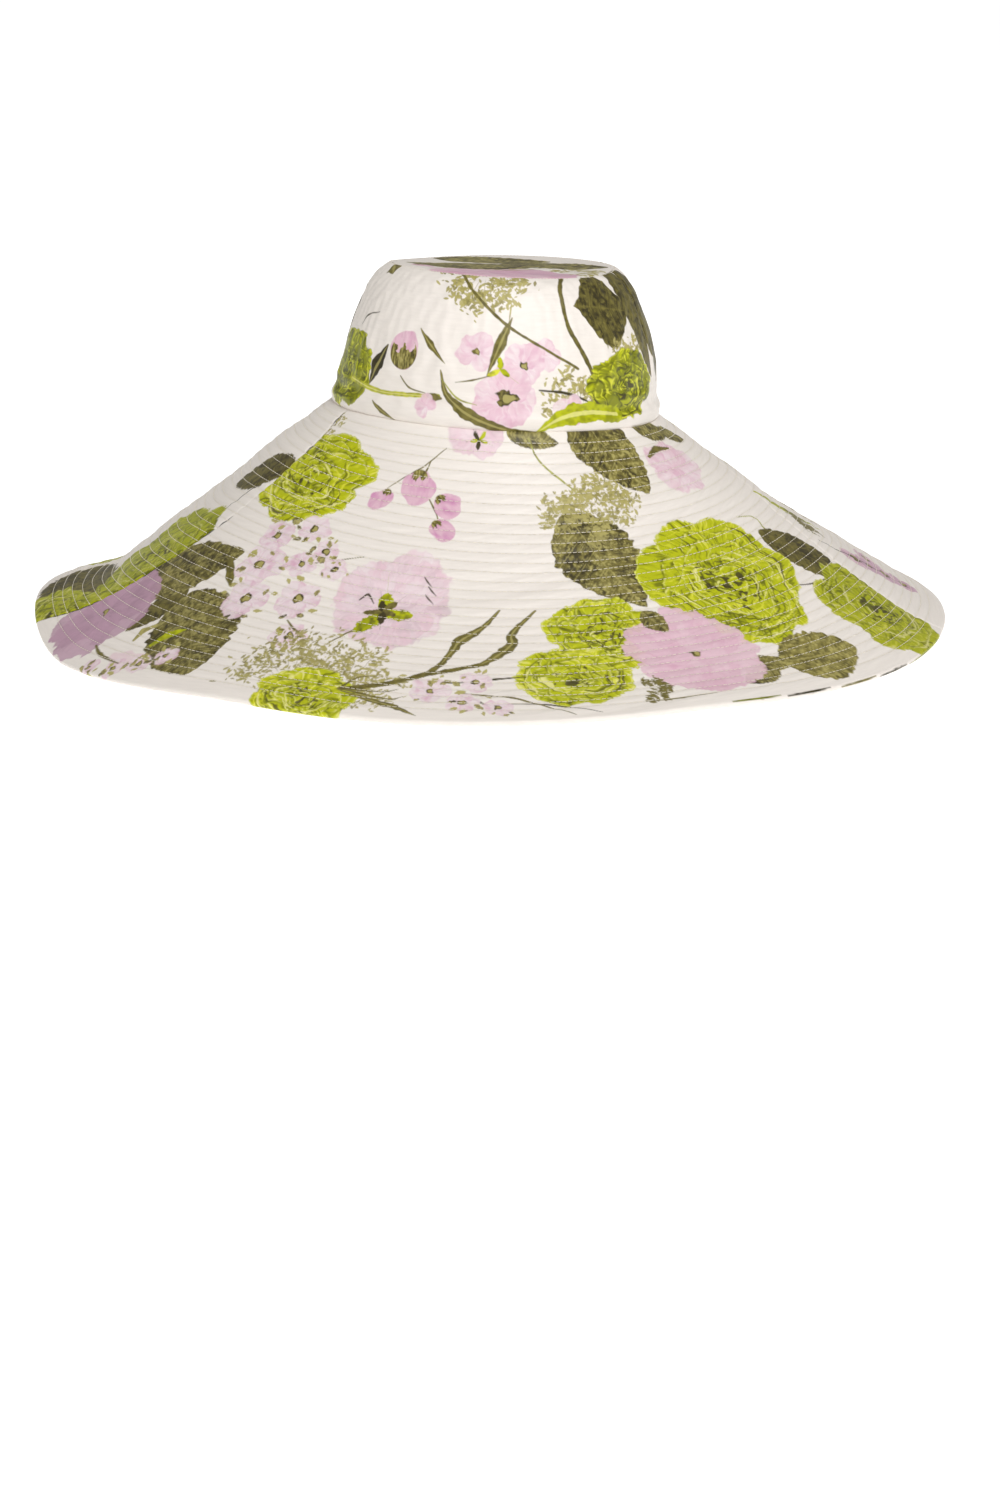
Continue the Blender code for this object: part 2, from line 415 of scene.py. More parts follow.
def rose(panel, at, radius, seed, wide=1.0, tones=ROSE):
    """A flower of overlapping petals, each brushed lighter to its rim and darker to its base."""
    light, bright, plain, deep, dark = tones
    scale = (deep * 0.6, deep, plain, plain, bright, light)
    random = np.random.default_rng(seed)
    here, x, y = panel.local(at, radius * 1.15 * max(1, wide))
    x, y = warped(x / wide, y, 0.08 * radius, (0.3 * radius, 0.27 * radius), (seed, seed + 5))
    x, y = warped(x, y, 0.8, (2.6, 2.6), (seed + 1, seed + 2))
    for out, tall, broad, count in PETAL_RINGS:
        tall, broad = tall * radius, broad * radius
        start = random.uniform(0, 2 * np.pi)
        for petal in range(count):
            facing = start + 2 * np.pi * (petal + random.uniform(-0.25, 0.25)) / count
            size = random.uniform(0.85, 1.15)
            along, aside = turned(x, y, math.degrees(facing))
            away, aside = (along - out * radius) / (tall * size), aside / (broad * size)
            near = np.nonzero(np.hypot(away, aside) < 1.2)[0]
            spot, away, aside = some(here, near), away[near], aside[near]
            inside = (1 - np.hypot(away, aside)) * tall
            key = seed + 7 * petal + int(100 * out)
            fan = aside * broad * (1 - 0.25 * away) + random.uniform(-0.5, 0.5) * away * tall
            brush = cloud(fan, away * tall / 6, 1.0, key)
            brush += 0.7 * cloud(fan, away * tall / 9, 0.6, key + 1)
            brush += 0.5 * cloud(x[near], y[near], 3.2, key + 2)
            level = 0.3 + 0.26 * brush + 0.2 * ramp(away, -0.9, 0.9) + random.uniform(-0.1, 0.12)
            lay_on(panel, spot, shaded(scale, level), soft(inside + 0.4 * brush, 0.6))
            rim = bell(inside, 0.5, 0.35) * ramp(away, -0.4, 0.4) * (0.5 + 0.7 * brush)
            lay_on(panel, spot, light, 0.8 * rim)
            if out < 0.6:
                crease = 0.35 + 0.9 * cloud(x[near], y[near], 4, key + 4)
                lay_on(panel, spot, deep * 0.5, 0.8 * bell(inside, -0.3, 0.5) * crease)
    distance, angle = np.hypot(x, y), np.arctan2(y, x)
    for index in range(int(16 + 1.3 * radius)):
        middle, way = 0.85 * radius * random.uniform(0.05, 1) ** 0.8, random.uniform(0, 2 * np.pi)
        off = np.abs((angle - way + np.pi) % (2 * np.pi) - np.pi)
        long = random.uniform(0.25, 0.8)
        beside = np.abs(distance - middle * (1 + random.uniform(-0.25, 0.25) * (angle - way)))
        near = np.nonzero((off < long) & (beside < 2) & (distance < 0.88 * radius))[0]
        body = random.uniform(0.25, 0.7) * (1 - (off[near] / long) ** 2)
        body *= 1 + 0.6 * cloud(x[near], y[near], 1.4, index)
        tint = (light, bright, deep * 0.7, dark)[random.choice(4, p=(0.3, 0.2, 0.3, 0.2))]
        lay_on(panel, some(here, near), tint, 0.85 * soft(body - beside[near], 0.5))
    gaps = cloud(x, y, 2.4, seed + 3) - 0.12 - 1.7 * distance / radius
    lay_on(panel, here, dark, 0.9 * soft(gaps, 0.25))


def blossom(panel, at, radius, seed, petals=6, wide=1.0, tones=PALE_FLOWER, heart=0.16, blur=0.8):
    """A pale flower of ragged petals in washes that overlap and pool at their edges."""
    pale, plain, deep = tones
    random = np.random.default_rng(seed)
    here, x, y = panel.local(at, radius * 1.25 * max(1, wide))
    x, y = warped(x / wide, y, 0.05 * radius, (0.35 * radius, 5), (seed, seed))
    x, y = warped(x, y, 0.4 + 0.025 * radius, (2.4, 2.0), (seed + 1, seed + 2))
    distance = np.hypot(x, y)
    lay_on(panel, here, pale, soft(0.6 * radius - distance, 1 + blur))
    for petal in range(petals):
        facing = 2 * np.pi * (petal + random.uniform(-0.25, 0.25)) / petals
        reach, size = radius * random.uniform(0.42, 0.54, 2)
        across, down = x - reach * math.cos(facing), y - reach * math.sin(facing)
        bulge = 1 + 0.08 * cloud(across, down, 0.4 * size + 1, seed + petal)
        inside = size * bulge - np.hypot(across, down)
        depth = random.uniform(-0.35, 0.55)
        aside = across * math.sin(facing) - down * math.cos(facing)
        brush = cloud(aside, 0.25 * distance, 1.6, seed + petal)
        pools = cloud(x, y, 0.3 * radius + 1, seed + 20 + petal)
        spots = cloud(x, y, 0.2 * radius + 1, seed + 3)
        tint = mix(pale, plain, 0.7 + depth + 0.7 * pools + 0.3 * brush)
        tint = mix(tint, deep, 0.6 * depth - 0.1 + 0.55 * spots + 0.25 * brush)
        lay_on(panel, here, tint, 0.86 * soft(inside, blur))
        pool = bell(inside, 0.6, 0.5) * (0.5 + cloud(x, y, 4, seed + 5))
        lay_on(panel, here, deep, 0.3 * np.clip(pool, 0, 1))
    vein = cloud(np.arctan2(y, x) * radius * 0.6, distance / 7, 1.0, seed + 7)
    petalled = soft(0.85 * radius - distance, 2)
    lay_on(panel, here, pale, 0.3 * soft(vein - 0.35, 0.3) * petalled)
    lay_on(panel, here, deep, 0.2 * soft(-vein - 0.4, 0.3) * petalled)
    if heart:
        ragged = heart * radius * (1 + 0.4 * cloud(x, y, 0.16 * radius + 0.5, seed + 9)) + 0.3
        shade = mix(OLIVE, OLIVE_DARK, 0.6 + cloud(x, y, 1.3, seed + 12))
        lay_on(panel, here, shade, soft(ragged - distance, 0.6))
        middle = soft(0.62 * ragged - np.hypot(x - 0.2 * ragged, y), 0.6)
        lay_on(panel, here, OLIVE_LIGHT, 0.9 * middle)


def sprouts(panel, at, size, seed, tones, count):
    """A few short leaves that spring from one point."""
    random = np.random.default_rng(seed)
    here, x, y = panel.local(at, 1.3 * size)
    edge, tone = 1 + 0.3 * cloud(x, y, 1.6, seed), 0.2 + 0.6 * cloud(x, y, 1.8, seed + 4)
    for index in range(count):
        angle = 360 * (index + random.uniform(-0.2, 0.2)) / count + 20
        along, aside = turned(x, y, angle)
        share = along / (size * random.uniform(0.6, 1.1))
        half = 0.2 * size * np.sqrt(np.clip(np.sin(np.pi * np.clip(share, 0, 1)), 0, 1))
        inside = soft(half * edge - np.abs(aside), 0.6) * (half > 0)
        lay_on(panel, here, mix(tones[index % 2], OLIVE_DARK, tone), inside)


def leaf(panel, at, length, width, turn, seed, tones=LEAF_TONES, belly=0.85, point=0.75):
    """A toothed leaf from its stalk at the left to its tip at the right, before it is turned."""
    light, plain, dark = tones
    here, x, y = panel.local(at, 0.62 * length)
    x, y = turned(x, y, turn)
    y = y + 0.05 * width * np.sin(2.6 * x / length + seed)
    along = np.clip(x / length + 0.5, 0, 1)
    tooth = 0.07 * np.abs(2 * ((along * 11 + 0.2 * cloud(x, y, 9, seed)) % 1) - 1)
    outline = np.sin(np.pi * along**belly) ** point * (0.95 + tooth)
    half = 0.5 * width * (outline + 0.05 * cloud(x, y, 3, seed))
    inside = soft(half - np.abs(y)) * soft(0.5 * length - np.abs(x))
    side = np.abs(y) / (0.5 * width)
    fan = along * 9 - 1.6 * side
    grain = cloud(fan * length / 9, side * width / 6, 1.25, seed + 2)
    mottle = 0.35 * cloud(x, y, 0.16 * length, seed + 1) + 0.55 * cloud(x, y, 2.2, seed + 5)
    fleck = cloud(x, y, 1.1, seed + 11) + 0.6 * cloud(x, y, 0.6, seed + 12)
    shade = mix(plain, dark, 0.42 + 1.2 * mottle + 0.7 * grain + 0.4 * fleck)
    shade = mix(shade, light, -0.22 + 0.8 * np.abs(grain) - 0.9 * mottle + 0.75 * fleck)
    ribs = np.abs((fan * 0.72) % 1 - 0.5) * length / 6.5
    broken = soft(cloud(x, y, 4, seed + 6) + 0.2, 0.5)
    for colour, coverage in (
        (shade, 1),
        (light, 0.6 * soft(0.4 - np.abs(y), 0.6)),
        (light, 0.6 * soft(0.28 - ribs, 0.5) * broken),
        (dark, 0.35 * bell(ribs, 0.9, 0.5)),
    ):
        lay_on(panel, here, colour, inside * coverage)


def curve_through(points, count):
    """Evenly numbered points on a smooth curve through a few places."""
    points = np.array(points, float)
    ends = np.concatenate((2 * points[:1] - points[1:2], points, 2 * points[-1:] - points[-2:-1]))
    spans = len(points) - 1
    position = np.linspace(0, spans, count)
    start = np.minimum(position.astype(int), spans - 1)
    share = (position - start)[:, None]
    a, b, c, d = (ends[start + step] for step in range(4))
    return 0.5 * (
        2 * b + (c - a) * share + (2 * a - 5 * b + 4 * c - d) * share**2 + (3 * b - a - 3 * c + d) * share**3
    )


def stroke(panel, route, width, colour, seed, taper=(0.5, 1.0, 0.3), edge=None):
    """A brush stroke along a route of places: a stem, or a slender leaf where it swells."""
    route = np.array(route, float)
    middle = route.mean(axis=0)
    scale = np.radians(panel.radius[np.abs(panel.down - middle[1]) < 4].mean())
    line = curve_through((route - middle) * (scale, 1), 25)
    here, x, y = panel.local(middle, np.abs(line).max() + width)
    nearest, along = np.full(x.shape, 1e9), np.zeros(x.shape)
    for index, (start, end) in enumerate(zip(line[:-1], line[1:])):
        step = end - start
        share = np.clip(((x - start[0]) * step[0] + (y - start[1]) * step[1]) / (step @ step), 0, 1)
        distance = np.hypot(x - start[0] - share * step[0], y - start[1] - share * step[1])
        closer = distance < nearest
        nearest[closer] = distance[closer]
        along[closer] = (index + share[closer]) / 24
    size = 0.5 * width * np.interp(along, (0, 0.5, 1), taper) * (1 + 0.2 * cloud(x, y, 2.6, seed))
    shade = mix(colour, colour * 0.6, 0.45 + 0.8 * cloud(x, y, 1.8, seed + 2))
    lay_on(panel, here, shade, soft(size - nearest, 0.6))
    if edge is not None:
        lay_on(panel, here, edge, soft(0.2 * size - nearest, 0.5) * 0.7)


def blade(panel, route, width, seed, colour=OLIVE):
    """A slender leaf with a pale midrib."""
    stroke(panel, route, width, colour, seed, taper=(0.1, 1.0, 0.05), edge=OLIVE_LIGHT)


def sprig(panel, at, size, turn, seed, colour=OLIVE_LIGHT, fill=0.7):
    """A lacy umbel: thin stalks that fan out from a point and end in crowds of small dabs."""
    random = np.random.default_rng(seed)
    here, x, y = panel.local(at, size * 0.75)
    x, y = turned(x, y, turn)
    base = 0.38 * size
    for facing in np.linspace(-1.45, 1.45, 13):
        facing, reach = facing + random.uniform(-0.08, 0.08), random.uniform(0.35, 0.78) * size
        head_x, rise = reach * math.sin(facing) * 0.72, -reach * math.cos(facing) * 0.9
        share = np.clip((x * head_x + (y - base) * rise) / (head_x**2 + rise**2), 0, 1)
        off = np.hypot(x - share * head_x, y - base - share * rise)
        lay_on(panel, here, OLIVE, 0.6 * soft(0.2 - off, 0.5) * ramp(share, 0.3, 0.6))
        for dab in range(int(0.62 * size * fill)):
            spread_x, spread_y = random.normal(0, 0.1 * size, 2)
            long, angle = random.uniform(1.0, 2.6), random.uniform(0, 180)
            across, down = turned(x - head_x - spread_x, y - base - rise - 0.7 * spread_y, angle)
            near = np.nonzero(np.abs(across) < long)[0]
            ragged = 0.38 * long * (1 - (across[near] / long) ** 2)
            ragged *= 1 + 0.4 * cloud(x[near], y[near], 1, dab)
            shade = colour + (OLIVE_DARK - colour) * random.uniform(0, 0.8) ** 3
            lay_on(panel, some(here, near), shade, 0.92 * soft(ragged - np.abs(down[near]), 0.5))


def bud(panel, at, size, turn, seed, tones=(PINK, PINK_DEEP), calyx=0.2):
    """A soft round bud that hangs from a toothed cup."""
    here, x, y = panel.local(at, size)
    x, y = turned(x, y, turn)
    ragged = 0.5 * size * (1 + 0.2 * cloud(x, y, 0.3 * size, seed))
    streak = 0.7 * cloud(x * 2, y, 0.3 * size, seed) + 0.3 * cloud(2.5 * x, y, 2.5, seed + 6)
    inside = soft(ragged - np.hypot(1.15 * x, y), 0.8)
    lay_on(panel, here, mix(*tones, 0.4 + streak), 0.95 * inside)
    cup = (0.2 + 0.45 * calyx) * size
    middle = 0.95 * cup - 0.52 * size
    teeth = 0.5 * cup * np.abs((2.6 * x / cup + seed) % 2 - 1) + 0.3 * cup * cloud(x, y, 1.6, seed + 2)
    inside = np.minimum(cup - np.hypot(1.1 * x, y - middle), middle + 0.05 * cup + teeth - y)
    streak = cloud(2.2 * x, 0.5 * y, 1.4, seed + 4) + 0.4 * cloud(x, y, 1.0, seed + 5)
    lay_on(panel, here, shaded((OLIVE_DARK, OLIVE, OLIVE_LIGHT), 0.5 + 0.5 * streak), soft(inside, 0.6))


def wash(panel, at, wide, tall, colour, seed, strength):
    """A loose patch of one colour."""
    here, x, y = panel.local(at, max(wide, tall))
    ragged = 0.25 * cloud(x, y, 0.3 * tall + 2, seed)
    inside = soft((1 - np.hypot(2 * x / wide, 2 * y / tall) + ragged) * tall / 2, 1.2)
    streak = 0.85 + 0.15 * cloud(x, y * 4, 5, seed + 3)
    lay_on(panel, here, colour, inside * strength * streak)


def ground(panel, seed):
    """The faint unevenness of the undyed satin."""
    tone = 0.012 * panel.cloud(38, seed) + 0.008 * panel.cloud(9, seed + 1)
    panel.colour *= (1 + tone)[..., None]
    x = np.radians(panel.azimuth) * panel.radius
    slub = soft(cloud(x / 14, panel.down, 0.9, seed + 2) - 0.7, 0.3)
    panel.colour *= (1 - 0.02 * slub)[..., None]


def crown_flowers(panel):
    """The print round the front of the crown, from the left seam (184 degrees) to the right one (345)."""
    blade(panel, ((209, 9), (205, 5), (201, 2)), 11, 4)
    stroke(panel, ((203, 42), (206, 36), (214, 33)), 1.0, OLIVE_DARK, 2)
    sprig(panel, (262, 14), 42, 180, 41, fill=1.1)
    stroke(panel, ((301, 0), (297, 12), (297, 32), (302, 48), (308, 68)), 2.8, OLIVE * 0.85, 6, (1, 0.9, 1))
    stroke(panel, ((274, 20), (273, 30)), 1.0, OLIVE_LIGHT, 3)
    leaf(panel, (318.5, 24), 48, 47, 2, 9, belly=0.9, tones=DARK_LEAF, point=1.6)
    leaf(panel, (340, 30), 74, 24, 80, 10, tones=DARK_LEAF)
    sprig(panel, (327, 47), 26, 20, 43)
    blossom(panel, (261, 48), 12, 11, petals=5, heart=0.13)
    blossom(panel, (286, 48), 10, 13, petals=5, heart=0)
    blossom(panel, (278, 54), 13, 12)
    sprig(panel, (297, 68), 34, -20, 44, fill=0.75)
    stroke(panel, ((284, 68), (295, 70), (308, 78)), 1.8, OLIVE_DARK, 15)
    blossom(panel, (272, 73), 19, 16, petals=7, heart=0.26)
    sprouts(panel, (270, 57), 8, 14, tones=(LIME, LIME_LIGHT), count=3)
    blade(panel, ((274, 28), (270, 42), (265, 61)), 6.5, 7)
    stroke(panel, ((266, 61), (260, 64), (254, 66)), 1.0, OLIVE, 8)
    stroke(panel, ((255, 2), (259, 14), (271, 31), (286, 44), (301, 56)), 1.9, OLIVE, 5, (1, 0.9, 0.7))
    blossom(panel, (296, 79), 10, 17, petals=5, heart=0.08)
    rose(panel, (322, 67), 21.5, 18, wide=1.4, tones=DEEP_ROSE)
    stroke(panel, ((283, 92), (292, 84), (303, 81), (316, 83)), 13, LIME, 19, (0.1, 1, 0.7), CREAM)
    blade(panel, ((249, 60), (251, 73), (259, 84), (272, 91), (284, 92)), 7, 20)
    stroke(panel, ((249, 65), (255, 75), (262, 78)), 1.2, STEM, 21)
    blade(panel, ((238, 38), (243, 46), (250, 56)), 4, 22)
    bud(panel, (232, 51), 21, 180, 24, calyx=0.58)
    stroke(panel, ((232, 66), (236, 72), (243, 74)), 1.2, OLIVE, 25)
    blade(panel, ((224, 50), (220, 62), (217, 74)), 10, 26, OLIVE_DARK)
    rose(panel, (199, 68), 25, 27, wide=1.2, tones=DEEP_ROSE)
    route = ((206, 73), (222, 77), (238, 76), (248, 75))
    stroke(panel, route, 3.6, LIME_LIGHT * 0.8, 28, (1, 0.7, 0.8), CREAM)
    stroke(panel, ((244, 75), (249, 76)), 5, OLIVE, 29)
    blossom(panel, (243, 81), 7.5, 30, petals=4, heart=0)
    blade(panel, ((220, 83), (225, 88), (231, 92)), 3.5, 31)


def print_crown(panel, side):
    """The printed flowers come round again at the back."""
    ground(panel, 3 if side == "front" else 5)
    panel.print_shift = 0 if side == "front" else 180
    crown_flowers(panel)
    panel.print_shift = 0
    if side == "back":
        leaf(panel, (352, 34), 76, 30, 82, 50, tones=DARK_LEAF)
        leaf(panel, (532, 36), 62, 34, 66, 51)


def print_tip(panel):
    ground(panel, 7)
    blossom(panel, (-2, 44), 32, 70, petals=7, wide=1.5, tones=(PINK, PINK_DEEP, LAVENDER), heart=0)
    leaf(panel, (-14, 4), 84, 40, -6, 71)
    leaf(panel, (30, -8), 66, 38, 14, 72)
    leaf(panel, (-6, -38), 70, 34, 4, 73)
    sprig(panel, (46, 22), 34, 60, 74)
    bud(panel, (-46, 22), 14, -30, 75)
    stroke(panel, ((-10, 22), (12, 18), (30, 2)), 1.6, STEM, 76)


def floret(panel, at, radius, seed):
    """A small pale flower with a small eye, and leaflets beside it."""
    random = np.random.default_rng(seed)
    blossom(panel, at, radius, seed, 5, heart=0.2, tones=(PINK_PALE, PINK_PALE * 0.96, PINK_DEEP))
    here, x, y = panel.local(at, 1.7 * radius)
    for dab in range(6):
        facing, reach = random.uniform(0, 2 * np.pi), radius * random.uniform(0.45, 1.2)
        middle = reach * math.cos(facing), reach * math.sin(facing)
        across, down = turned(x - middle[0], y - middle[1], random.uniform(0, 180))
        long = random.uniform(1.6, 3.8)
        ragged = 1 + 0.5 * cloud(across, down, 1.2, seed + dab)
        body = soft(0.5 * long * (1 - (across / long) ** 2) * ragged - np.abs(down), 0.5)
        tone = random.uniform(0, 0.7) + 0.6 * cloud(across, down, 1.3, dab)
        shade = mix(OLIVE_LIGHT, (OLIVE_DARK, STEM)[dab % 2], tone)
        lay_on(panel, here, shade, 0.95 * body * (np.abs(across) < long))


def florets(panel, places):
    """Florets from pairs of a place and a radius."""
    for at, radius in places:
        floret(panel, at, radius, int(at[0]))


def brim_flowers(panel):
    """The print on the front of the brim, from the crown's seam (0 mm down) to the hem (about 212)."""
    blossom(panel, (262, 2), 17, 101, heart=0, tones=WASHED_FLOWER, blur=2)
    sprouts(panel, (263.5, 6), 6, 99, tones=(LIME, OLIVE_DARK), count=5)
    leaf(panel, (281.5, 4), 30, 13, 8, 98)
    sprig(panel, (201, 13), 40, 40, 102)
    stroke(panel, ((252.4, 13), (247.6, 27), (243.8, 34.5), (239.4, 44)), 1.1, OLIVE, 103)
    stroke(panel, ((249.5, 22), (249, 30), (248.6, 34)), 1.1, OLIVE, 104)
    stroke(panel, ((250.4, 42), (252.4, 48), (254.8, 56), (256, 62)), 1.1, OLIVE, 154)
    for turn, down, size, lean in (
        (239.4, 52, 15, 20),
        (248.2, 41.5, 24, -8),
        (257.3, 50.5, 18, -50),
        (257.3, 66.5, 16, -50),
    ):
        bud(panel, (turn, down), size, lean, int(turn + down), BRIGHT_BUD, calyx=0.02)
    stroke(panel, ((281, 4), (283, 18), (290, 34), (296, 48)), 1.3, STEM, 105)
    leaf(panel, (308, 17), 61, 42, 72, 107, belly=0.7)
    leaf(panel, (334, 5), 32, 17, 20, 108)
    leaf(panel, (346, 12), 26, 13, 35, 106)
    blossom(panel, (330, 32), 22, 109, petals=5, heart=0, blur=2)
    stroke(panel, ((322, 21), (328, 17), (335, 19)), 4.5, OLIVE, 110)
    leaf(panel, (293.4, 87.5), 78, 52, 69, 111, belly=0.8, point=1.0)
    sprig(panel, (296.5, 38), 46, -15, 112, fill=1.1)
    sprig(panel, (286.5, 50), 26, -20, 153)
    sprig(panel, (296.5, 58), 30, -30, 155)
    stroke(panel, ((333, 78), (338, 84), (336, 96), (331, 98)), 1.2, STEM, 113)
    leaf(panel, (338, 124), 66, 34, 74, 114, tones=DARK_LEAF)
    stroke(panel, ((326, 132), (331, 140), (337, 142), (343, 139)), 1.2, OLIVE_DARK, 115)
    rose(panel, (339, 176), 44, 116, tones=PAINTED_SHADE_ROSE)
    rose(panel, (287.5, 142), 33, 120)
    rose(panel, (281, 177), 27, 121, wide=1.25)
    rose(panel, (316, 118.5), 54, 118)
    leaf(panel, (318.5, 187), 60, 44, 8, 119, tones=PALE_LEAF)
    leaf(panel, (309.5, 184), 30, 16, 20, 163, tones=PALE_LEAF)
    leaf(panel, (306.5, 194), 30, 17, 160, 124)
    blossom(panel, (300, 167), 38, 122, petals=9, wide=1.12, heart=0.05, tones=FULL_FLOWER)
    leaf(panel, (297, 136), 20, 15, 60, 123)
    stroke(panel, ((271, 199), (277, 202), (283, 212)), 1.2, OLIVE_DARK, 125)
    leaf(panel, (200, 64), 46, 26, -40, 146, tones=DARK_LEAF)
    rose(panel, (215.8, 51), 34, 126, wide=1.22)
    leaf(panel, (212, 164), 40, 20, 110, 145, tones=DARK_LEAF)
    leaf(panel, (209, 137), 74, 44, -42, 127, tones=DULL_LEAF)
    leaf(panel, (222.5, 174), 78, 57, 42, 128, tones=DULL_LEAF)
    blossom(panel, (201.5, 178), 38, 129, petals=7, heart=0.05, tones=SHADED_FLOWER)
    stroke(panel, ((218, 186), (219, 178), (221, 171)), 6, LIME, 131)
    stroke(panel, ((214, 186), (214, 179), (216, 172)), 5, OLIVE_LIGHT, 132)
    wash(panel, (217, 199), 30, 12, PINK, 133, 0.7)
    florets(panel, (((222.4, 191), 8), ((219.4, 200), 9), ((216, 207), 8), ((211.5, 211), 7)))
    stroke(panel, ((208, 197), (211, 201), (216, 203)), 2.5, OLIVE, 134)
    stroke(panel, ((241, 92), (234, 103), (224, 119), (218, 132)), 0.9, OLIVE, 147)
    for turn, down, size in (
        (221, 94, 12), (228, 82, 11), (234, 95, 9), (223, 116, 16), (231, 107, 10),
        (238, 105, 9), (226, 140, 16), (235, 131, 15), (238, 158, 12),
    ):
        floret(panel, (turn, down), size, turn + down)
    stroke(panel, ((216, 118), (219, 128), (221, 134)), 6, OLIVE, 135)
    stroke(panel, ((236, 147), (238, 152), (240, 155)), 1.6, OLIVE, 136)
    blossom(panel, (251.6, 121), 37, 137, 10, wide=0.94, heart=0, tones=WASHED_FLOWER, blur=3)
    stroke(panel, ((244.5, 158), (247, 146), (250, 133)), 1.4, OLIVE, 148)
    sprouts(panel, (251, 129), 22, 149, tones=(LIME, LIME * 0.8), count=3)
    sprouts(panel, (250.6, 128), 11, 152, tones=(OLIVE, OLIVE_DARK), count=5)
    stroke(panel, ((245.6, 122), (246.6, 117), (248.4, 123)), 1.5, OLIVE_DARK, 138)
    for turn, down in ((256.8, 103), (258, 109), (257.8, 115)):
        stroke(panel, ((turn - 0.8, down - 3), (turn, down), (turn + 1, down + 3)), 1.1, OLIVE_DARK, 150)
    sprig(panel, (244.3, 172), 74, 5, 139, OLIVE_LIGHT * 0.9, fill=1.2)
    sprig(panel, (252, 180), 50, 20, 151)
    rose(panel, (246.2, 205), 27, 140, wide=1.18)
    for turn, down in ((253.5, 180), (255.5, 184), (257.5, 189), (258.5, 195)):
        stroke(panel, ((250, 193), (turn - 2, down + 3), (turn, down)), 1.2, OLIVE, down, (1.4, 1, 0.3))
    stroke(panel, ((250, 193), (255.5, 186), (260.6, 173), (262.2, 163)), 3.2, OLIVE, 141, (0.6, 1, 1.2))
    route = ((262.2, 164), (263.6, 153), (264.6, 145), (267.6, 135), (270.1, 121))
    stroke(panel, route, 5.5, OLIVE, 156, (0.5, 1.2, 0.2), OLIVE_LIGHT)
    stroke(panel, ((252, 191), (260.6, 175), (268.3, 163)), 3, OLIVE, 142, (0.6, 1, 1.2))
    route = ((268, 163.5), (270.2, 157), (272.6, 147), (272.8, 138), (276.4, 121))
    stroke(panel, route, 6, OLIVE, 157, (0.5, 1.2, 0.2), OLIVE_LIGHT)
    stroke(panel, ((263.4, 181), (266.5, 179), (271, 176), (274.1, 174.5)), 1.6, OLIVE_DARK, 158)
    stroke(panel, ((266, 189), (269, 191.5), (272.5, 194.5), (276, 202), (280, 213)), 1.6, OLIVE, 159)
    stroke(panel, ((267, 194), (269.4, 202), (271, 211)), 1.6, OLIVE_DARK, 160)
    sprig(panel, (291.2, 195), 20, 100, 161, OLIVE, 1.2)
    stroke(panel, ((289.5, 205), (292.7, 205.5), (298, 205)), 1.8, OLIVE, 162)
    blade(panel, ((250, 194), (257, 204), (261, 213)), 5, 143)
    hem_marks = {303: LIME_DARK, 311: OLIVE_DARK, 320: OLIVE, 328: OLIVE_DARK, 336: LIME_DARK}
    for turn, colour in hem_marks.items():
        stroke(panel, ((turn - 4, 215), (turn, 214.5), (turn + 3, 214)), 1.8, colour, turn)
    florets(panel, (((261.7, 188), 12), ((267.5, 179), 10), ((266, 199), 10), ((270.5, 203), 9)))


def print_brim(panel, side):
    """The printed flowers come round again at the back, and meet others at the side seams, beside a painted
    seam shadow.
    """
    ground(panel, 9 if side == "front" else 11)
    panel.print_shift = 0 if side == "front" else 180
    brim_flowers(panel)
    panel.print_shift = 0
    if side == "back":
        brim_seam_flowers(panel)


def brim_seam_flowers(panel):
    leaf(panel, (558, 62), 50, 28, 150, 201, tones=DARK_LEAF)
    rose(panel, (555, 137), 45, 202, tones=PAINTED_SHADE_ROSE)
    leaf(panel, (542, 182), 88, 52, 185, 203, tones=DARK_LEAF)
    rose(panel, (552, 204), 26, 204, wide=1.5, tones=PAINTED_SHADE_ROSE)
    # Painted shadow: a thin dark olive line just behind the left side seam stands for the seam's shadow
    stroke(panel, ((559.5, 46), (561, 72), (559, 97)), 1.0, OLIVE_DARK, 207)
    blade(panel, ((352.5, 70), (354.5, 88), (357, 106), (360, 122)), 11, 206, LIME)
    sprig(panel, (353.5, 105), 26, -50, 205, OLIVE, 1.2)
    sprig(panel, (374, 60), 46, -30, 208)
    for turn, down in ((374, 70), (369, 100)):
        blade(panel, ((turn - 4, down + 22), (turn + 1, down), (turn + 7, down - 20)), 8, down)
    for turn, down, size in (
        (352.6, 147, 12),
        (355, 157, 12),
        (356.4, 168, 13),
        (359.5, 155, 11),
        (358.6, 183, 11),
    ):
        tones = (PINK, LAVENDER, LAVENDER * 0.9)
        blossom(panel, (turn, down), size, int(turn + down), heart=0.3, tones=tones)
    stroke(panel, ((349, 122), (351.5, 140), (355, 160), (359, 188)), 1.5, OLIVE_DARK, 209)


# ---------------------------------------------------------------- meshes


def mesh_piece(name, points, corners, starts, material):
    """An object from arrays of points, polygon corners and the place where each polygon starts."""
    mesh = bpy.data.meshes.new(name)
    mesh.vertices.add(points.size // 3)
    mesh.vertices.foreach_set("co", points.reshape(-1).astype(np.float32))
    mesh.loops.add(len(corners))
    mesh.loops.foreach_set("vertex_index", corners)
    mesh.polygons.add(len(starts))
    mesh.polygons.foreach_set("loop_start", starts.astype(np.int32))
    mesh.polygons.foreach_set("use_smooth", np.ones(len(starts), dtype=bool))
    mesh.update(calc_edges=True)
    if material is not None:
        mesh.materials.append(material)
    piece = bpy.data.objects.new(name, mesh)
    bpy.context.scene.collection.objects.link(piece)
    return piece


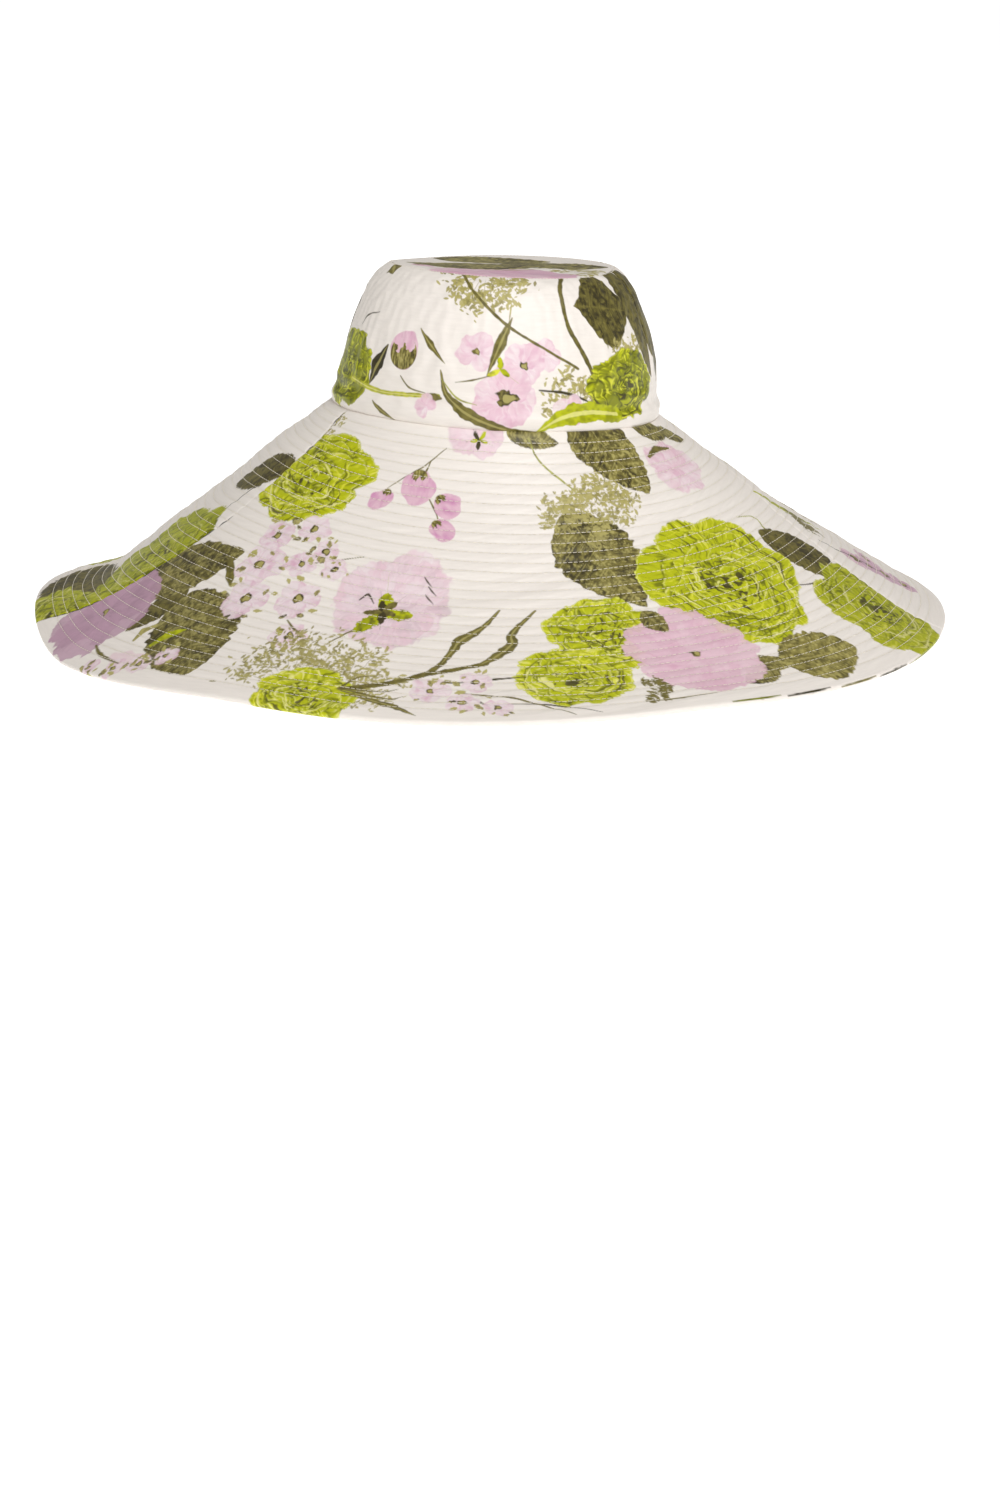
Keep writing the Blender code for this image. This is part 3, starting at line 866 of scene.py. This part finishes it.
def cloth_piece(name, points, material, places, colour=None, inner=False):
    """A piece of cloth from rows of points, with its print and each point's place on the flat cloth."""
    rows, columns = points.shape[:2]
    corner = np.arange(rows * columns).reshape(rows, columns)
    upper, lower = corner[:-1, :-1].ravel(), corner[1:, :-1].ravel()
    quads = np.stack((upper, lower, lower + 1, upper + 1), axis=1).astype(np.int32)
    if inner:
        quads = quads[:, ::-1]
    piece = mesh_piece(name, points, quads.ravel(), np.arange(0, quads.size, 4), material)
    flat = piece.data.attributes.new("cloth", "FLOAT_VECTOR", "POINT")
    flat.data.foreach_set("vector", np.stack((*places, 0 * places[0]), axis=2).reshape(-1).astype(np.float32))
    if colour is not None:
        layer = piece.data.color_attributes.new("print", "FLOAT_COLOR", "POINT")
        opaque = np.concatenate((colour, np.ones((rows, columns, 1))), axis=2)
        layer.data.foreach_set("color", opaque.reshape(-1).astype(np.float32))
    return piece


def join_ends(mesh):
    """Welds the first and last columns of a grid that goes all the way round."""
    round_mesh = bmesh.new()
    round_mesh.from_mesh(mesh)
    bmesh.ops.remove_doubles(round_mesh, verts=round_mesh.verts, dist=1e-6)
    round_mesh.to_mesh(mesh)
    round_mesh.free()


def belongs(piece, nodes):
    """Says which CAD body a piece rides on and which nodes it replaces."""
    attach(piece, "root")
    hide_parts(*nodes)


def panel_piece(name, node, slot, panel, material, lift, reach=0.0, colour=None, inner=False, thickness=0):
    """A piece of cloth on a panel, with a thickness of its own where it is a stiff layer."""
    points, places = panel.surface(lift, reach), cloth_places(panel)
    piece = cloth_piece(name, points, material, places, colour, inner)
    if thickness:
        layer = piece.modifiers.new("thickness", "SOLIDIFY")
        layer.thickness = thickness
        layer.offset = 0
    belongs(piece, [node])
    return piece


def ring_piece(*about, **more):
    """A panel piece as panel_piece makes it; the radii at the ends of its outline are worked out but not
    used.
    """
    piece, panel = panel_piece(*about, **more), about[3]
    top, *_, bottom = (float(point[0]) for point in panel.outline(np.array(0.0)))


def cloth_places(panel):
    """Where the panel's points lie on the flat cloth, in metres."""
    return np.radians(panel.azimuth) * panel.radius / 1000, panel.down / 1000


def seam_dip(panel, sides=True, top=0.0, bottom=0.0):
    """How far a panel's edges turn down into their seams, in millimetres."""
    dip = top * bell(panel.down, 0, SEAM_REACH)
    dip = dip + bottom * bell(panel.length - panel.down, 0, SEAM_REACH)
    if sides:
        dip = dip + SEAM_DIP * bell(panel.to_seam, 0, SEAM_REACH)
    return dip


def quilting(panel):
    """The puffs between the rows of topstitching, with small wrinkles that run across them."""
    x = np.radians(panel.azimuth) * panel.radius
    row = panel.fraction * ROW_LENGTH / QUILT_PITCH
    off = 2 * np.abs(row - np.round(row))
    hem = np.clip((row - QUILT_ROWS) * QUILT_PITCH / 2.5, 0, 1)
    off = np.where(row > QUILT_ROWS, 0.8 * hem, off)
    band = np.floor(row)
    pucker = cloud(x + 17 * band, 3.7 * band, 7.5, 5) + 0.6 * cloud(x + 29 * band, 5.3 * band, 3.1, 6)
    slack = 0.5 * panel.cloud(36, 8) + 0.12 * panel.cloud(12, 9)
    edge = np.clip((panel.length - panel.down) / 6, 0, 1)
    return QUILT_PUFF * (1 - (1 - off) ** 2.2) * (1 + 0.3 * pucker) * edge + slack * edge


def grooves(panel):
    """How deep each point lies in the rows of topstitching, from 0 to 1, which sets the painted shade in the
    grooves.
    """
    row = panel.fraction * ROW_LENGTH / QUILT_PITCH
    nearest = np.clip(np.round(row), 1, QUILT_ROWS)
    return bell(row * QUILT_PITCH, nearest * QUILT_PITCH, 0.8)


def stitch_run(panel, lift, flip=1):
    """The lines that rows of stitches follow, with the direction away from the cloth."""
    return panel.surface(lift), flip * panel.normal()


def stitches(name, runs, material, pitch=STITCH_PITCH, length=STITCH_LENGTH, width=STITCH_WIDTH, seed=12):
    """Every visible stitch of some rows, each a small spindle that sinks into the cloth at both ends."""
    spindle = ((-1, 0, 0), (-0.62, 1, 0), (-0.62, 0, 1), (-0.62, -1, 0), (-0.62, 0, -1))
    spindle = np.array(spindle + tuple((-x, y, z) for x, y, z in spindle), float)
    tips = ((0, 2, 1), (0, 3, 2), (0, 4, 3), (0, 1, 4), (5, 6, 7), (5, 7, 8), (5, 8, 9), (5, 9, 6))
    sides = ((1, 2, 7, 6), (2, 3, 8, 7), (3, 4, 9, 8), (4, 1, 6, 9))
    random = np.random.default_rng(seed)
    bodies, tones = [], []
    for line, outward in (row for run in runs for row in zip(*run)):
        passed = np.concatenate(((0,), np.cumsum(np.linalg.norm(np.diff(line, axis=0), axis=1)))) * 1000
        count = max(1, int(passed[-1] / pitch))
        centres = (np.arange(count) + 0.5) / count * passed[-1]

        def at(places, values):
            return np.stack([np.interp(places, passed, values[:, axis]) for axis in range(3)], axis=1)

        middle, up = at(centres, line), at(centres, outward)
        along = unit(at(centres + 0.3, line) - at(centres - 0.3, line))
        along = unit(along + random.normal(0, 0.04, (count, 1)) * np.cross(along, up))
        aside = unit(np.cross(along, up))
        up = np.cross(aside, along)
        long = length / 2000 * random.uniform(0.9, 1.08, (count, 1, 1))
        bodies.append(
            middle[:, None]
            + spindle[None, :, :1] * along[:, None] * long
            + spindle[None, :, 1:2] * aside[:, None] * width / 2000
            + spindle[None, :, 2:] * up[:, None] * width / 2000
        )
        tones.append(np.repeat(random.uniform(0.88, 1.0, count), len(spindle)))
    points = np.concatenate(bodies)
    first = np.arange(len(points))[:, None, None] * len(spindle)
    triangles = (first + np.array(tips)).reshape(-1, 3)
    quads = (first + np.array(sides)).reshape(-1, 4)
    corners = np.concatenate((triangles.ravel(), quads.ravel())).astype(np.int32)
    starts = np.concatenate((np.arange(len(triangles)) * 3, triangles.size + np.arange(len(quads)) * 4))
    piece = mesh_piece(name, points, corners, starts, material)
    shade = piece.data.attributes.new("tone", "FLOAT", "POINT")
    shade.data.foreach_set("value", np.concatenate(tones).astype(np.float32))
    return piece


# ---------------------------------------------------------------- materials


def fill(tree, node, inputs):
    """Sets the inputs of a node, each to a value or to a link from another node."""
    for name, value in inputs.items():
        if isinstance(value, bpy.types.NodeSocket):
            tree.links.new(value, node.inputs[name])
        else:
            node.inputs[name].default_value = value


def add_node(tree, kind, output, inputs, **settings):
    """Adds a shader node and gives the output that is used of it."""
    node = tree.nodes.new("ShaderNode" + kind)
    for name, value in settings.items():
        setattr(node, name, value)
    fill(tree, node, inputs)
    return node.outputs[output]


def add_attribute(tree, name, output):
    return add_node(tree, "Attribute", output, {}, attribute_name=name)


def add_noise(tree, scale, detail=2.0, **inputs):
    return add_node(tree, "TexNoise", "Fac", {"Scale": scale, "Detail": detail, **inputs})


def cloth_noise(tree, stretch, scale, detail=3.0):
    """Noise in the cloth's own places, stretched along the thread."""
    place = add_attribute(tree, "cloth", "Vector")
    stretched = add_node(tree, "Mapping", "Vector", {"Vector": place, "Scale": stretch})
    return add_noise(tree, scale, detail, Vector=stretched)


def add_range(tree, value, low, high, **inputs):
    limits = {"Value": value, "To Min": low, "To Max": high, **inputs}
    return add_node(tree, "MapRange", "Result", limits)


def add_dye(tree, colour, shade):
    """A colour, made lighter or darker by a shade."""
    return add_node(tree, "VectorMath", "Vector", {0: colour, "Scale": shade}, operation="SCALE")


def add_bump(tree, height, distance, strength, **inputs):
    relief = {"Height": height, "Distance": distance, "Strength": strength, **inputs}
    return add_node(tree, "Bump", "Normal", relief)


def new_material(name):
    material = bpy.data.materials.new(name)
    material.use_nodes = True
    return material, material.node_tree


def finish_shader(tree, colour, roughness, sheen, normal, **inputs):
    """Connects a cloth's colour, roughness, sheen and relief to its shader."""
    finish = {
        "Base Color": colour,
        "Roughness": roughness,
        "Sheen Weight": sheen,
        "Sheen Roughness": 0.4,
        "Specular IOR Level": 0.32,
        "Normal": normal,
        **inputs,
    }
    fill(tree, tree.nodes["Principled BSDF"], finish)


def satin_material(name, colour=None):
    """Satin: long floats along the cloth, fine cross threads, a soft sheen, and a dye or the print."""
    material, tree = new_material(name)
    floats = cloth_noise(tree, (1, 9, 1), 420)
    slubs = cloth_noise(tree, (1, 6, 1), 90, 4)
    shade = add_range(tree, slubs, 0.97, 1.02, **{"From Min": 0.3, "From Max": 0.7})
    if colour is None:
        colour = add_attribute(tree, "print", "Color")
    coarse = add_bump(tree, slubs, 0.0003, 0.2)
    fine = add_bump(tree, floats, 0.00015, 0.4, Normal=coarse)
    rough = add_range(tree, floats, 0.34, 0.54)
    finish_shader(tree, add_dye(tree, colour, shade), rough, 0.06, fine)
    return material


def woven_material(name, colour, roughness, thread_mm, rib=1.0):
    """A plain weave or, with a rib above 1, a ribbed ribbon."""
    material, tree = new_material(name)
    place = add_attribute(tree, "cloth", "Vector")
    waves = []
    for axis, stretch in (("X", 1.0), ("Y", rib)):
        wave = {"Vector": place, "Scale": 1000 / thread_mm / 20 / stretch, "Distortion": 0.6}
        waves.append(add_node(tree, "TexWave", "Fac", wave, bands_direction=axis))
    weave = add_node(tree, "Math", "Value", dict(enumerate(waves)), operation="MULTIPLY")
    shade = add_range(tree, cloth_noise(tree, (1, 1, 1), 900), 0.86, 1.06)
    finish_shader(tree, add_dye(tree, colour, shade), roughness, 0.1, add_bump(tree, weave, 0.0002, 0.6))
    return material


def thread_material():
    """Twisted sewing thread, a little lighter or darker from stitch to stitch."""
    material, tree = new_material("topstitch_thread")
    dye = add_dye(tree, THREAD, add_attribute(tree, "tone", "Fac"))
    finish_shader(tree, dye, 0.45, 0.05, add_bump(tree, add_noise(tree, 4000), 0.0001, 0.5))
    return material


def floor_material():
    material, tree = new_material("pale_floor")
    glow = {"Emission Color": (1, 1, 1, 1), "Emission Strength": 0.86}
    grain = add_bump(tree, add_noise(tree, 600), 0.0002, 0.1)
    finish_shader(tree, (*linear(205, 205, 205), 1), 0.9, 0, grain, **glow)
    return material


# ---------------------------------------------------------------- the hat


def both_panels(left, right):
    """The seams at each side of a ring's front panel and of its back panel."""
    return ("front", (left, right)), ("back", (right, tuple(turn + TURN for turn in left)))


def even(count, top=0.0, bottom=1.0):
    return np.linspace(top, bottom, count + 1)


SATIN_CLOTH = {
    "quality": 6,
    "mass": 0.1,
    "tension_stiffness": 18,
    "compression_stiffness": 18,
    "shear_stiffness": 6,
    "bending_stiffness": 0.12,
    "vertex_group_mass": "seams",
    "shrink_min": -0.022,
}


class Folds:
    """How far the crown's satin stands off its form, in millimetres, settled by a cloth simulation."""

    def __init__(self, columns=160, rows=26, frames=28):
        self.columns, self.rows = columns, rows
        self.depth = np.zeros((rows + 1, columns))
        around = ((0, 0, 0), (TURN, TURN, TURN))
        form = Panel(crown_outline, around, even(rows), columns, inset=0)
        out = form.turned_about(form.outward)[:, :-1]
        # The satin starts 0.6 mm off the form, and what it settles on lies 2.2 mm further in
        start = form.turned_about(form.place)[:, :-1] + 0.0006 * out
        cloth = self.tube("satin_tube", start)
        inner = self.tube("form_tube", start - 0.0022 * out)
        pins = cloth.vertex_groups.new(name="seams")
        edges = list(range(columns)) + list(range(rows * columns, (rows + 1) * columns))
        pins.add(edges, 1.0, "REPLACE")
        inner.modifiers.new("collide", "COLLISION")
        inner.collision.thickness_outer = 0.0004
        settle = cloth.modifiers.new("settle", "CLOTH")
        for setting, value in SATIN_CLOTH.items():
            setattr(settle.settings, setting, value)
        settle.collision_settings.distance_min = 0.0008
        settle.point_cache.frame_end = frames
        scene = bpy.context.scene
        for frame_number in range(1, frames + 1):
            scene.frame_set(frame_number)
        settled = cloth.evaluated_get(bpy.context.evaluated_depsgraph_get()).to_mesh()
        ends = np.empty(len(settled.vertices) * 3, np.float32)
        settled.vertices.foreach_get("co", ends)
        moved = ((ends.reshape(start.shape) - start) * out).sum(axis=2) * 1000
        scene.frame_set(1)
        for piece in (cloth, inner):
            bpy.data.objects.remove(piece)
        self.depth = np.clip(moved, -0.9, 2.2)

    def tube(self, name, points):
        rows, columns = points.shape[:2]
        corner = np.arange(rows * columns).reshape(rows, columns)
        after = np.roll(corner, -1, axis=1)
        quads = np.stack((corner[:-1], corner[1:], after[1:], after[:-1]), axis=-1).reshape(-1, 4)
        starts = np.arange(0, quads.size, 4)
        return mesh_piece(name, points, quads.astype(np.int32).ravel(), starts, None)

    def lift(self, panel):
        """The folds at a panel's points, by smooth interpolation."""
        column = (panel.azimuth % TURN) / TURN * self.columns
        row = panel.fraction * self.rows
        left, upper = np.floor(column).astype(int), np.floor(row).astype(int)
        total = np.zeros_like(panel.fraction)
        for down in (-1, 0, 1, 2):
            for right in (-1, 0, 1, 2):
                weight = spline(column - left - right) * spline(row - upper - down)
                rows = np.clip(upper + down, 0, self.rows)
                total += weight * self.depth[rows, (left + right) % self.columns]
        return total


def spline(distance):
    """The weight of a smooth cubic spline at a distance."""
    off = np.abs(distance)
    near = (4 - 6 * off**2 + 3 * off**3) / 6
    return np.where(off < 1, near, np.clip(2 - off, 0, 2) ** 3 / 6)


def make_crown_sides(satin, lining, felt):
    """Each side panel's satin and lining, and the one strip of felt between them."""
    folds = Folds()
    for side, seams in both_panels(CROWN_LEFT, CROWN_RIGHT):
        wide = seams[1][0] - seams[0][0]
        rows, columns = CROWN_FINENESS[side]
        panel = Panel(crown_outline, seams, even(rows), round(wide * columns))
        print_crown(panel, side)
        waves = 0.4 * panel.cloud(30, 21, 0.4) * np.sin(np.pi * panel.fraction) ** 0.5
        lift = folds.lift(panel) + waves - seam_dip(panel, top=0.9, bottom=1.8)
        lift = lift - 0.4 * bump(panel.fraction, 0.11, 0.11)
        about = (f"crown_side_{side}_satin", f"crown_side_{side}", "printed_satin", panel, satin)
        ring_piece(*about, lift, colour=panel.colour)

        panel = Panel(crown_outline, seams, even(46), round(wide * 0.9))
        loose = 0.35 * panel.cloud(16, 31, 0.3) + 0.5 * bell(panel.to_seam, 0, 1.2)
        about = (f"crown_lining_{side}", f"crown_side_lining_{side}", "lining_cloth", panel, lining)
        ring_piece(*about, loose - LINING_DEPTH, inner=True)

    panel = Panel(crown_outline, AROUND, even(24, 0.02, 0.98), 150)
    about = ("crown_side_felt", "crown_side_interlining", "interlining", panel, felt)
    ring_piece(*about, -FELT_DEPTH + 0 * panel.down, thickness=0.0008)


def make_sweatband(ribbon, thread):
    """The ribbed ribbon inside the crown's lower edge, stitched on along its upper edge."""
    panel = Panel(crown_outline, AROUND, even(40, 0.745, 1), 420)
    ribs = 0.12 * np.sin(2 * np.pi * panel.down / 1.3)
    lift = -RIBBON_DEPTH - ribs + 0.3 * panel.cloud(22, 33)
    about = ("sweatband_ribbon", "sweatband", "ribbon", panel, ribbon)
    piece = panel_piece(*about, lift, inner=True, thickness=0.0007)
    line = Panel(crown_outline, AROUND, (0.765,), 1200)
    run = stitch_run(line, -RIBBON_DEPTH - 0.55 + 0 * line.down, -1)
    seam = stitches("sweatband_stitches", [run], thread, seed=14)
    belongs(seam, [])


def make_tip(satin, lining, felt, thread):
    """The three discs of the flat top, slightly dished, and the round of stitches beside its seam."""
    for name, node, slot, material, seam, depth in (
        ("crown_tip_satin", "crown_tip", "printed_satin", satin, 0.0003, 0),
        ("crown_tip_felt", "crown_tip_interlining", "interlining", felt, 0.0012, FELT_DEPTH),
        ("crown_tip_lining_cloth", "crown_tip_lining", "lining_cloth", lining, 0.0014, LINING_DEPTH),
    ):
        radius = TIP_RADIUS - seam
        tip = Disc(1000 * radius, TIP_Z - depth / 1000, 0.7 if depth == 0 else 2)
        near_rim = np.clip(tip.to_rim / 22, 0, 1)
        lift = -1.1 * near_rim**1.5 + 0.5 * cloud(tip.flat_x, tip.flat_y, 26, 23) * near_rim
        if depth == 0:
            print_tip(tip)
            lift = lift - 0.8 * bell(tip.to_rim, 0, SEAM_REACH)
        places = (tip.flat_x / 1000, tip.flat_y / 1000)
        colour = tip.colour if depth == 0 else None
        piece = cloth_piece(name, tip.surface(lift), material, places, colour, slot == "lining_cloth")
        join_ends(piece.data)
        belongs(piece, [node])

    line = Panel(crown_outline, AROUND, (0.014,), 900)
    run = stitch_run(line, 0.05 - seam_dip(line, False, 0.9))
    seam = stitches("crown_tip_stitches", [run], thread, 2.0, 1.4, 0.4, 15)
    belongs(seam, ["crown_tip_topstitching"])


def make_brim(satin, plain, felt, thread):
    """The quilted brim: its top edge runs on under the crown's seam, and its hem rolls under."""
    roll = np.linspace(0, np.pi, 9)[1:]
    thick = 1000 * BRIM_THICKNESS
    rows = QUILT_PITCH / ROW_LENGTH * np.arange(1, QUILT_ROWS + 1)
    upper_runs, lower_runs = [], []
    for side, seams in both_panels(BRIM_LEFT, BRIM_RIGHT):
        wide = seams[1][2] - seams[0][2]
        fine, columns = BRIM_FINENESS[side]
        fractions = np.concatenate((even(fine), np.ones(len(roll))))
        panel = Panel(brim_outline, seams, fractions, round(wide * columns))
        turn = np.concatenate((np.zeros(fine + 1), roll))[:, None]
        panel.down = panel.down + thick / 2 * turn
        print_brim(panel, side)
        # Painted shade: the print is darkened by up to 6% along the rows of topstitching, where shade falls
        # in the grooves
        panel.colour *= 1 - 0.06 * grooves(panel)[..., None]
        lift = quilting(panel) - seam_dip(panel, top=1.3) + thick / 2 * (np.cos(turn) - 1)
        reach = thick / 2 * np.sin(turn) - 2.2 * bump(panel.down, 0, 3.5)
        about = (f"brim_top_{side}_satin", f"brim_top_{side}", "printed_satin", panel, satin)
        ring_piece(*about, lift, reach, colour=panel.colour)

        panel = Panel(brim_outline, seams, even(150), round(wide * 3.2))
        lift = seam_dip(panel, top=1.8) - quilting(panel) - thick
        about = (f"brim_under_{side}_satin", f"brim_under_{side}", "plain_satin", panel, plain)
        ring_piece(*about, lift, -3.0 * bump(panel.down, 0, 6), inner=True)

        panel = Panel(brim_outline, seams, even(40, 0.015, 0.97), round(wide * 0.9), inset=1.6)
        about = (f"brim_felt_{side}", f"brim_interlining_{side}", "interlining", panel, felt)
        ring_piece(*about, -FELT_DEPTH + 0 * panel.down, thickness=0.001)

        line = Panel(brim_outline, seams, rows, round(wide * 5))
        upper_runs.append(stitch_run(line, quilting(line) - seam_dip(line) + 0.1))
        lower_runs.append(stitch_run(line, 0.0 - quilting(line) + seam_dip(line) - thick - 0.1, -1))
    belongs(stitches("brim_topstitches", upper_runs, thread), ["brim_hem_topstitching"])
    belongs(stitches("brim_understitches", lower_runs, thread, seed=13), [])


def make_studio():
    """A pale floor and sky like the photograph's white ground, with three soft lamps."""
    floor_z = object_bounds()[0][2] - 0.0005
    bpy.ops.mesh.primitive_plane_add(size=40, location=(0, 0, floor_z))
    floor = bpy.context.object
    floor.name = "studio_floor"
    floor.data.materials.append(floor_material())
    world = bpy.data.worlds.new("studio")
    bpy.context.scene.world = world
    world.use_nodes = True
    tree = world.node_tree
    seen = add_node(tree, "LightPath", "Is Camera Ray", {})
    sky = {"Color": (1, 0.965, 0.9, 1), "Strength": add_range(tree, seen, 0.25, 1.2)}
    fill(tree, tree.nodes["Background"], sky)
    for name, place, size, power in (
        ("key", (0.85, -2.05, 2.65), 1.4, 70),
        ("fill", (-1.8, -1.8, 1.0), 1.6, 3.5),
        ("back", (-0.4, 2.3, 1.3), 1.6, 14),
    ):
        lamp = bpy.data.lights.new(name, "AREA")
        lamp.size = size
        lamp.energy = power
        light = bpy.data.objects.new(name, lamp)
        light.location = place
        light.visible_glossy = name != "back"
        light.rotation_euler = (-Vector(place)).to_track_quat("-Z", "Y").to_euler()
        bpy.context.scene.collection.objects.link(light)


def make_camera():
    """The photograph's view."""
    camera = bpy.data.cameras.new("camera")
    camera.lens = CAMERA_LENS
    camera.sensor_width = 36
    view = bpy.data.objects.new("camera", camera)
    view.location = CAMERA_PLACE
    view.rotation_euler = (math.pi / 2 - CAMERA_DIP, 0, 0)
    bpy.context.scene.collection.objects.link(view)
    bpy.context.scene.camera = view
    bpy.context.scene.view_settings.view_transform = "Standard"


satin = satin_material("printed_satin")
plain = satin_material("plain_satin", linear(238, 232, 220))
lining = woven_material("lining_weave", linear(236, 232, 222), 0.6, 0.4)
ribbon = woven_material("ribbon_weave", linear(238, 232, 216), 0.7, 0.5, 3.0)
felt = woven_material("interlining_felt", linear(240, 240, 238), 0.95, 1.0)
thread = thread_material()
make_crown_sides(satin, lining, felt)
make_sweatband(ribbon, thread)
make_tip(satin, lining, felt, thread)
make_brim(satin, plain, felt, thread)
make_studio()
make_camera()
